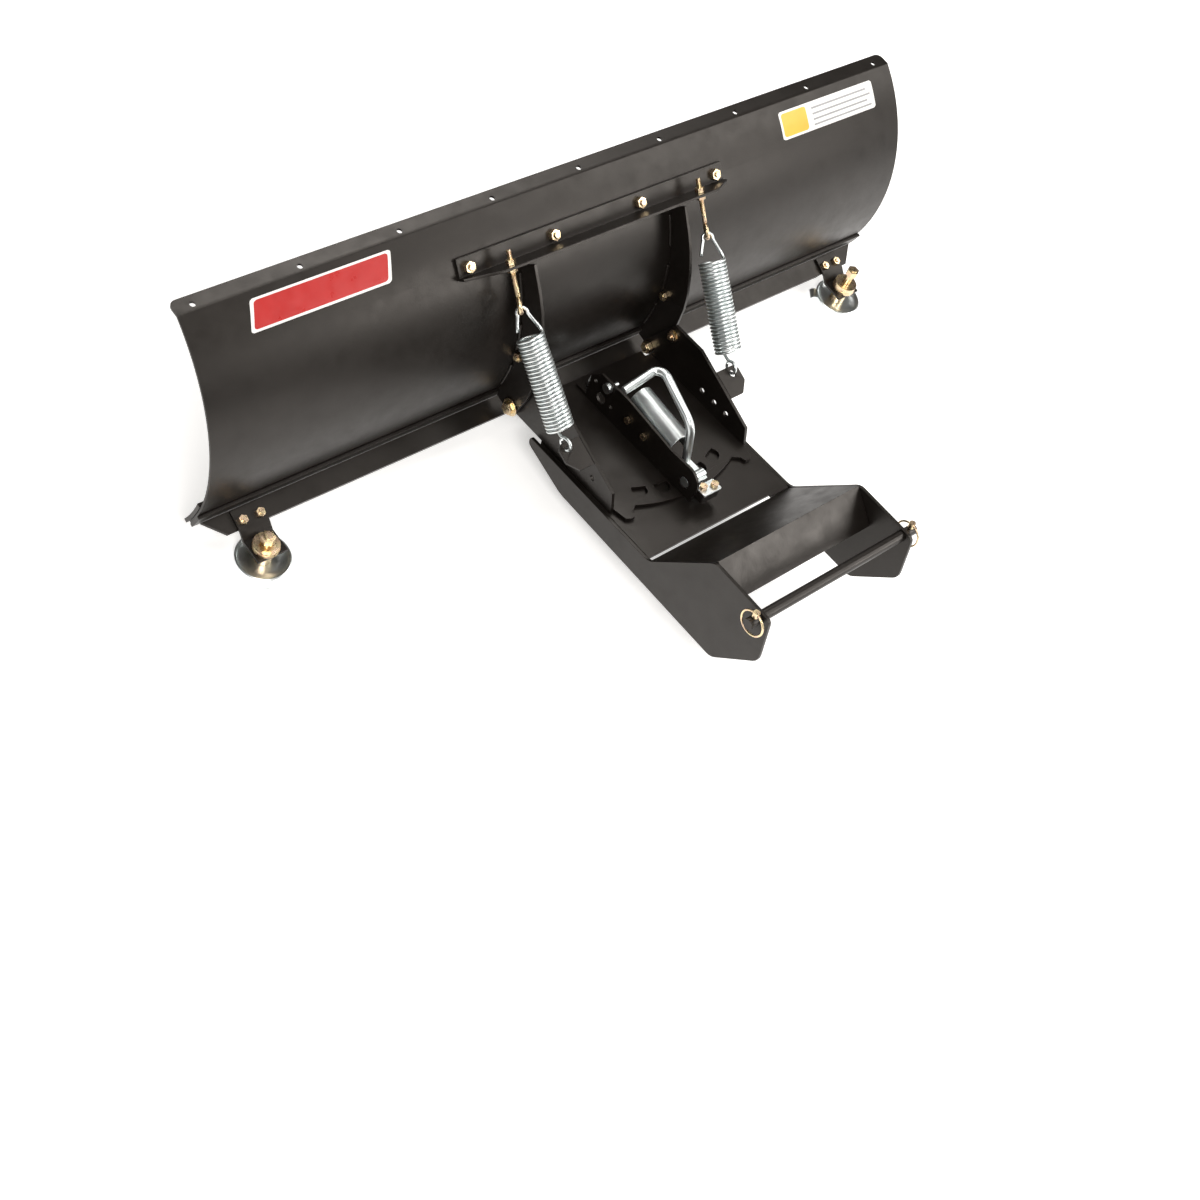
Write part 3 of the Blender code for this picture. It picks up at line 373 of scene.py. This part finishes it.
def wire_mesh(points, radius, detail=4):
    """A closed round wire along points."""
    curve = bpy.data.curves.new("wire", "CURVE")
    curve.dimensions = "3D"
    curve.bevel_depth = radius
    curve.bevel_resolution = detail
    curve.use_fill_caps = True
    spline = curve.splines.new("POLY")
    spline.points.add(len(points) - 1)
    for point, place in zip(spline.points, points):
        point.co = (*place, 1.0)
    holder = bpy.data.objects.new("wire", curve)
    bpy.context.scene.collection.objects.link(holder)
    bpy.context.view_layer.update()
    mesh = bpy.data.meshes.new_from_object(holder.evaluated_get(bpy.context.evaluated_depsgraph_get()))
    bpy.data.objects.remove(holder, do_unlink=True)
    build = bmesh.new()
    build.from_mesh(mesh)
    bmesh.ops.remove_doubles(build, verts=build.verts, dist=WIRE_WELD)
    bmesh.ops.recalc_face_normals(build, faces=build.faces)
    build.to_mesh(mesh)
    build.free()
    return mesh


def turned_mesh(profile, steps=32):
    """A closed ring of (radius, height) points turned about Z."""
    build = bmesh.new()
    rings = []
    for index in range(steps):
        turn = math.tau * index / steps
        rings.append([build.verts.new((r * math.cos(turn), r * math.sin(turn), z))
                      for r, z in profile])
    count = len(profile)
    for index in range(steps):
        here = rings[index]
        there = rings[(index + 1) % steps]
        for step in range(count):
            after = (step + 1) % count
            build.faces.new((here[step], there[step], there[after], here[after]))
    bmesh.ops.recalc_face_normals(build, faces=build.faces)
    mesh = bpy.data.meshes.new("turned")
    build.to_mesh(mesh)
    build.free()
    return mesh


def between(first, last, count, first_pull, last_pull):
    """Points on a cubic from one place to another, without its two ends."""
    made = []
    for index in range(1, count):
        share = index / count
        rest = 1 - share
        made.append(first * rest ** 3 + (first + first_pull) * 3 * share * rest ** 2
                    + (last - last_pull) * 3 * share ** 2 * rest + last * share ** 3)
    return made


def spring_points(across):
    """One wire: lower hook, coil and wide upper hook, with Z from the ear to the eye."""
    points = []
    for index in range(LOWER_HOOK_STEPS):
        turn = LOWER_HOOK_START + LOWER_HOOK_STEP * index
        points.append(Vector((LOWER_HOOK * math.cos(turn), 0, LOWER_HOOK * (1 + math.sin(turn)))))
    steps = round(COIL_TURNS * STEPS_PER_COIL)
    coil = []
    for index in range(steps + 1):
        turn = math.pi + math.tau * COIL_TURNS * index / steps
        height = COIL_START + (COIL_END - COIL_START) * index / steps
        coil.append(Vector((COIL_RADIUS * math.cos(turn), COIL_RADIUS * math.sin(turn), height)))
    points += between(points[-1], coil[0], LOWER_JOIN_STEPS, *LOWER_PULL)
    points += coil
    up = Vector((0, 0, 1))
    bend = []
    for index in range(UPPER_HOOK_STEPS):
        turn = UPPER_HOOK_START + UPPER_HOOK_STEP * index
        bend.append(across * UPPER_HOOK * math.cos(turn)
                    + up * (SPRING_LENGTH - UPPER_HOOK * (1 - math.sin(turn))))
    leaving = (coil[-1] - coil[-2]).normalized() * COIL_RUN + up * COIL_RISE
    arriving = up * BEND_RISE - across * BEND_INWARD
    points += between(coil[-1], bend[0], UPPER_JOIN_STEPS, leaving, arriving)
    points += bend
    end = up * (SPRING_LENGTH - FREE_LEG[1]) - across * FREE_LEG[0]
    points += between(bend[-1], end, LEG_STEPS, -across * LEG_START[0] - up * LEG_START[1],
                      -across * LEG_FINISH[0] - up * LEG_FINISH[1])
    points.append(end)
    return points


def make_springs():
    """The trip springs, each one wire from its lower hook to its upper hook."""
    ear_normal = Vector((0, math.sin(EAR_TILT), math.cos(EAR_TILT)))
    rod = Vector((0, math.sin(BRACKET_ANGLE), -math.cos(BRACKET_ANGLE)))
    level = rod.cross(Vector((1, 0, 0)))
    through = Vector((-math.cos(EYE_TURN), 0, 0)) - level * math.sin(EYE_TURN)
    for label, side in SIDES.items():
        place = Vector(JOINTS["spring_swing_" + label]["pos_m"])
        flat = Vector(JOINTS["spring_stretch_" + label]["axis"]).normalized()
        aside = side * EYE_X - place.x
        axis = (flat * math.sqrt(SPRING_LENGTH ** 2 - aside ** 2) + Vector((aside, 0, 0))).normalized()
        turn = axes_at(place, axis, ear_normal)
        across = turn.to_3x3().transposed() @ through
        across = Vector((across.x, across.y, 0)).normalized()
        points = [turn @ point for point in spring_points(across)]
        spring = add_piece("trip_spring_" + label, wire_mesh(points, SPRING_WIRE), "bright_zinc")
        spring.data.shade_smooth()
        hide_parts("spring_" + label, "spring_hook_" + label)
        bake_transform(spring)


def thread_sleeve(name, body, slot, place, along, radius, length, pitch=THREAD_PITCH):
    """Thread ridges around a rod, from a place along a direction."""
    inner = radius - SLEEVE_WALL
    outer = [(radius - ROOT, 0.0)]
    count = max(2, int(length / pitch))
    for index in range(count):
        outer.append((radius + RIDGE, pitch * (index + 0.5)))
        outer.append((radius - ROOT, pitch * (index + 1)))
    profile = outer + [(inner, pitch * count), (inner, 0.0)]
    mesh = turned_mesh(profile, 28)
    mesh.transform(axes_at(place, along))
    piece = add_piece(name, mesh, slot, body)
    return shaded(piece, 30)


def make_threads():
    """Threads on the eye bolts and bracket bolts."""
    normal = Vector((0, math.cos(BRACKET_ANGLE), math.sin(BRACKET_ANGLE)))
    up = Vector((0, -math.sin(BRACKET_ANGLE), math.cos(BRACKET_ANGLE)))
    seat = ARC_CENTRE + normal * (REAR_RADIUS + SHEET_LIFT)
    for label, side in SIDES.items():
        hole = seat - up * BRACKET_LEG / 2 + normal * EYE_SEAT_OUT + Vector((side * EYE_X, 0, 0))
        thread_sleeve("eye_thread_upper_" + label, "blade", "yellow_zinc",
                      hole + up * THREAD_ABOVE[0], up, EYE_ROD, THREAD_ABOVE[1])
        thread_sleeve("eye_thread_lower_" + label, "blade", "yellow_zinc",
                      hole - up * THREAD_BELOW[0], -up, EYE_ROD, THREAD_BELOW[1])
        for place in ("inner", "outer"):
            low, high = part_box("bracket_bolt_" + place + "_" + label)
            tip = seat + normal * TIP_OUT
            tip.x = (low.x + high.x) / 2
            thread_sleeve("bracket_thread_" + place + "_" + label, "blade", "yellow_zinc",
                          tip, normal, TIP_RADIUS, TIP_LENGTH, TIP_PITCH)


def make_wall_bolt():
    """A hex bolt and washer near the front corner of the right wall."""
    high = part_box("swivel_wall_right")[1]
    seat = Vector((high.x, *WALL_BOLT))
    for name, steps, profile in WALL_BOLT_PIECES:
        mesh = turned_mesh([(radius * MM, height * MM) for radius, height in profile], steps)
        mesh.transform(axes_at(seat, (1, 0, 0), (0, 1, 0)))
        shaded(add_piece(name, mesh, "yellow_zinc", "swivel"), 30)


def weld_bead(name, points, radius, body):
    """A rippled bead along a seam."""
    mesh = wire_mesh(points, radius, detail=2)
    for vertex in mesh.vertices:
        lumps = noise.noise(vertex.co * LUMP_SCALE) * LUMP_DEPTH
        ripple = RIPPLE_DEPTH * math.sin(vertex.co.length * RIPPLE_SCALE)
        vertex.co += Vector(vertex.normal) * radius * (lumps + ripple)
    piece = add_piece(name, mesh, "black_powder_coat", body)
    piece.data.shade_smooth()
    return piece


def make_welds():
    """Beads where the ribs meet the rolled sheet, broken into short runs as welded."""
    for label, side in SIDES.items():
        low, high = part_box("rib_" + label)
        for face, x in (("inner", min(abs(low.x), abs(high.x)) - WELD_ASIDE),
                        ("outer", max(abs(low.x), abs(high.x)) + WELD_ASIDE)):
            for run, (first, last) in enumerate(WELD_RUNS):
                points = []
                for index in range(WELD_STEPS + 1):
                    turn = math.radians(first + (last - first) * index / WELD_STEPS)
                    reach = REAR_RADIUS + WELD_OUT
                    points.append((side * x, ARC_CENTRE.y + reach * math.cos(turn),
                                   ARC_CENTRE.z + reach * math.sin(turn)))
                weld_bead(f"rib_weld_{face}_{run}_{label}", points, WELD_RADIUS, "blade")


def panel_mesh(left, right, bottom, top, lift, round_by, lean):
    """A thin rounded panel that follows the moldboard's rear face."""
    half_wide = abs(right - left) / 2
    start = math.asin((bottom - ARC_CENTRE.z) / REAR_RADIUS) * REAR_RADIUS
    end = math.asin((top - ARC_CENTRE.z) / REAR_RADIUS) * REAR_RADIUS
    half_tall = (end - start) / 2
    centre = ((left + right) / 2, (start + end) / 2)
    rows = PANEL_ROWS
    build = bmesh.new()
    lines = []
    for index in range(rows + 1):
        along = -half_tall + 2 * half_tall * index / rows
        short = max(0.0, abs(along) - (half_tall - round_by))
        inset = round_by - math.sqrt(max(0.0, round_by ** 2 - short ** 2))
        wide = half_wide - inset
        turn = (centre[1] + along) / REAR_RADIUS
        pair = []
        for x in (-wide, wide):
            layers = []
            for radius in (REAR_RADIUS + lift - PANEL_THICKNESS, REAR_RADIUS + lift):
                layers.append(build.verts.new((centre[0] + x - lean * along / (2 * half_tall),
                                               ARC_CENTRE.y + radius * math.cos(turn),
                                               ARC_CENTRE.z + radius * math.sin(turn))))
            pair.append(layers)
        lines.append(pair)
    for here, there in zip(lines, lines[1:]):
        (a0, a1), (b0, b1) = here
        (c0, c1), (d0, d1) = there
        build.faces.new((a1, b1, d1, c1))
        build.faces.new((a0, c0, d0, b0))
        build.faces.new((a0, a1, c1, c0))
        build.faces.new((b0, d0, d1, b1))
    for (a0, a1), (b0, b1) in (lines[0], lines[-1]):
        build.faces.new((a0, b0, b1, a1))
    bmesh.ops.recalc_face_normals(build, faces=build.faces)
    mesh = bpy.data.meshes.new("panel")
    build.to_mesh(mesh)
    build.free()
    return mesh


def add_panel(name, material, left, right, bottom, top, lift, round_by=CORNER, lean=0.0):
    """A vinyl panel on the blade's rear face."""
    mesh = panel_mesh(left, right, bottom, top, lift, round_by, lean)
    piece = bpy.data.objects.new(name, mesh)
    bpy.context.scene.collection.objects.link(piece)
    mesh.materials.append(material)
    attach(piece, "blade")
    return shaded(piece)


def make_panels():
    """Plain coloured panels in place of the printed ones."""
    finishes = {name: vinyl(name, colour) for name, colour in VINYL_COLOURS.items()}
    for name, finish, left, right, bottom, top, lift, lean in PANELS:
        add_panel(name, finishes[finish], left, right, bottom, top, lift, lean=lean)
    for row in range(LINE_COUNT):
        left = LINE_LEFT + LINE_INDENT * (row % 2)
        bottom = LINE_BOTTOM + row * LINE_STEP
        add_panel(f"label_line_{row}", finishes["grey_vinyl"], left, LINE_RIGHT,
                  bottom, bottom + LINE_HEIGHT, PRINT_LIFT, round_by=LINE_CORNER)


def make_stage():
    """Plain pale floor, soft light and the reference camera."""
    bpy.ops.mesh.primitive_plane_add(size=FLOOR_SIZE, location=(0, 0, -FLOOR_DROP))
    floor = bpy.context.object
    floor.name = "floor"
    paint = bpy.data.materials.new("floor")
    paint.use_nodes = True
    shader = paint.node_tree.nodes["Principled BSDF"]
    shader.inputs["Base Color"].default_value = FLOOR_COLOUR
    shader.inputs["Roughness"].default_value = FLOOR_ROUGHNESS
    shader.inputs["Emission Color"].default_value = FLOOR_GLOW
    shader.inputs["Emission Strength"].default_value = FLOOR_GLOW_STRENGTH
    floor.data.materials.append(paint)
    world = bpy.data.worlds.new("studio")
    world.use_nodes = True
    background = world.node_tree.nodes["Background"]
    background.inputs["Color"].default_value = WORLD_COLOUR
    background.inputs["Strength"].default_value = WORLD_STRENGTH
    bpy.context.scene.world = world
    for name, place, size, power in LIGHTS:
        light = bpy.data.lights.new(name, "AREA")
        light.shape = "DISK"
        light.size = size
        light.energy = power
        light.color = LIGHT_TINT
        holder = bpy.data.objects.new(name, light)
        bpy.context.scene.collection.objects.link(holder)
        toward = LIGHT_TARGET - Vector(place)
        facing = toward.to_track_quat("-Z", "Y").to_matrix().to_4x4()
        holder.matrix_world = Matrix.Translation(place) @ facing
    camera = bpy.data.cameras.new("camera")
    camera.lens = LENS
    camera.sensor_width = SENSOR
    camera.clip_end = FAR_CLIP
    holder = bpy.data.objects.new("camera", camera)
    bpy.context.scene.collection.objects.link(holder)
    back = Vector((math.sin(AZIMUTH) * math.cos(ELEVATION), -math.cos(AZIMUTH) * math.cos(ELEVATION),
                   math.sin(ELEVATION)))
    right = Vector((math.cos(AZIMUTH), math.sin(AZIMUTH), 0.0))
    upright = back.cross(right)
    turn = Matrix((right, upright, back)).transposed().to_4x4()
    holder.matrix_world = Matrix.Translation(CAMERA_PLACE) @ turn @ Matrix.Rotation(ROLL, 4, "Z")
    bpy.context.scene.camera = holder
    bpy.context.scene.view_settings.view_transform = "Standard"


for node_name, node in NODES.items():
    dress_node(node_name, node)
make_springs()
make_threads()
make_wall_bolt()
make_welds()
make_panels()
make_stage()
